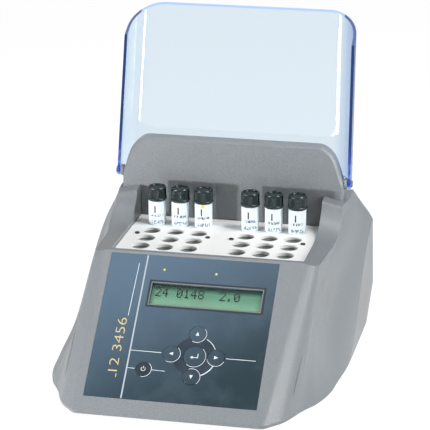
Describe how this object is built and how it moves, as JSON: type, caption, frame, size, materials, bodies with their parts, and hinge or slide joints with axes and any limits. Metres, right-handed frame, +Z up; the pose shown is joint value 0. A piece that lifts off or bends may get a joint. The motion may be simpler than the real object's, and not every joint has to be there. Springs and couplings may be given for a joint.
{
  "type": "chemical oxygen demand reactor",
  "caption": "Bench dry block reactor for chemical oxygen demand tests, with a sloped keypad panel, a plate of vial wells, capped vials and a tinted hinged hood.",
  "frame": {"origin": "middle of the assembly's footprint, at the underside of the feet", "axes": "+Z up, -Y towards the user, +X to the user's right"},
  "size_m": [0.2664, 0.3041, 0.2968],
  "materials": {
    "housing": "fine grained mid grey",
    "foil": "printed blue grey foil",
    "window": "clear acrylic window",
    "lcd": "green display",
    "key": "dark printed key",
    "lamp": "yellow green light pipe",
    "plate": "smooth white",
    "hood": "blue tinted acrylic",
    "aluminium": "machined",
    "steel": "plain zinc plated",
    "pin": "translucent moulded pin",
    "bush": "acetal",
    "insulation": "pressed mineral fibre",
    "sheet": "satin grey powder coat",
    "board": "green board with dark components",
    "dark": "black moulded plastic",
    "core": "lacquered laminations",
    "ribbon": "grey flat cable",
    "rubber": "black rubber",
    "vial": "borosilicate glass",
    "cap": "green black phenolic"
  },
  "bodies": {
    "base": {"base_pan": "sheet", "base_screws": "steel", "block_tray": "steel", "board_screws": "steel", "control_panel": "foil", "display_board": "board", "display_window": "window", "feet": "rubber", "fuse_holder": "dark", "heater_plate_left": "steel", "heater_plate_right": "steel", "heating_block_left": "aluminium", "heating_block_right": "aluminium", "hinge_bush_left": "bush", "hinge_bush_right": "bush", "hinge_pin_left": "pin", "hinge_pin_right": "pin", "insulation_left": "insulation", "insulation_right": "insulation", "key_domes": "steel", "lcd_module": "lcd", "main_board": "board", "mains_inlet": "dark", "plate_screws": "steel", "rear_panel": "sheet", "rear_panel_screws": "steel", "rear_wall": "housing", "ribbon_cable": "ribbon", "status_led_left": "lamp", "status_led_right": "lamp", "switch_housing": "dark", "temperature_sensor_left": "steel", "temperature_sensor_right": "steel", "thermal_cutout_left": "steel", "thermal_cutout_right": "steel", "transformer": "core", "upper_housing": "housing", "well_plate_left": "plate", "well_plate_right": "plate"},
    "fuse_tray": {"fuse_drawer": "dark"},
    "key_down": {"key_down": "key"},
    "key_enter": {"key_enter": "key"},
    "key_left": {"key_left": "key"},
    "key_power": {"key_power": "key"},
    "key_right": {"key_right": "key"},
    "key_up": {"key_up": "key"},
    "hood": {"lid": "hood"},
    "rocker": {"power_rocker": "dark"},
    "vial_1": {"vial_cap_1": "cap", "vial_glass_1": "vial"},
    "vial_2": {"vial_cap_2": "cap", "vial_glass_2": "vial"},
    "vial_3": {"vial_cap_3": "cap", "vial_glass_3": "vial"},
    "vial_4": {"vial_cap_4": "cap", "vial_glass_4": "vial"},
    "vial_5": {"vial_cap_5": "cap", "vial_glass_5": "vial"},
    "vial_6": {"vial_cap_6": "cap", "vial_glass_6": "vial"}
  },
  "joints": [
    {"name": "hood_hinge", "type": "hinge", "parent": "base", "child": "hood", "pos_m": [0.0081, 0.0872, 0.1486], "axis": [1, 0, 0], "range_deg": [0, 117]},
    {"name": "press_up", "type": "slide", "parent": "base", "child": "key_up", "axis": [0, 0.6733, -0.7394], "range_m": [0, 0.0005], "stiffness_N_per_m": 2000},
    {"name": "press_down", "type": "slide", "parent": "base", "child": "key_down", "axis": [0, 0.6733, -0.7394], "range_m": [0, 0.0005], "stiffness_N_per_m": 2000},
    {"name": "press_left", "type": "slide", "parent": "base", "child": "key_left", "axis": [0, 0.6733, -0.7394], "range_m": [0, 0.0005], "stiffness_N_per_m": 2000},
    {"name": "press_right", "type": "slide", "parent": "base", "child": "key_right", "axis": [0, 0.6733, -0.7394], "range_m": [0, 0.0005], "stiffness_N_per_m": 2000},
    {"name": "press_enter", "type": "slide", "parent": "base", "child": "key_enter", "axis": [0, 0.6733, -0.7394], "range_m": [0, 0.0005], "stiffness_N_per_m": 2000},
    {"name": "press_power", "type": "slide", "parent": "base", "child": "key_power", "axis": [0, 0.6733, -0.7394], "range_m": [0, 0.0005], "stiffness_N_per_m": 2000},
    {"name": "lift_vial_1", "type": "slide", "parent": "base", "child": "vial_1", "axis": [0, 0, -1], "range_m": [-0.08, 0]},
    {"name": "lift_vial_2", "type": "slide", "parent": "base", "child": "vial_2", "axis": [0, 0, -1], "range_m": [-0.08, 0]},
    {"name": "lift_vial_3", "type": "slide", "parent": "base", "child": "vial_3", "axis": [0, 0, -1], "range_m": [-0.08, 0]},
    {"name": "lift_vial_4", "type": "slide", "parent": "base", "child": "vial_4", "axis": [0, 0, -1], "range_m": [-0.08, 0]},
    {"name": "lift_vial_5", "type": "slide", "parent": "base", "child": "vial_5", "axis": [0, 0, -1], "range_m": [-0.08, 0]},
    {"name": "lift_vial_6", "type": "slide", "parent": "base", "child": "vial_6", "axis": [0, 0, -1], "range_m": [-0.08, 0]},
    {"name": "rocker_tilt", "type": "hinge", "parent": "base", "child": "rocker", "pos_m": [-0.046, 0.1446, 0.06841], "axis": [1, 0, 0], "range_deg": [0, 20]},
    {"name": "fuse_pull", "type": "slide", "parent": "base", "child": "fuse_tray", "axis": [0, 0.9812, 0.1928], "range_m": [0, 0.026]}
  ]
}
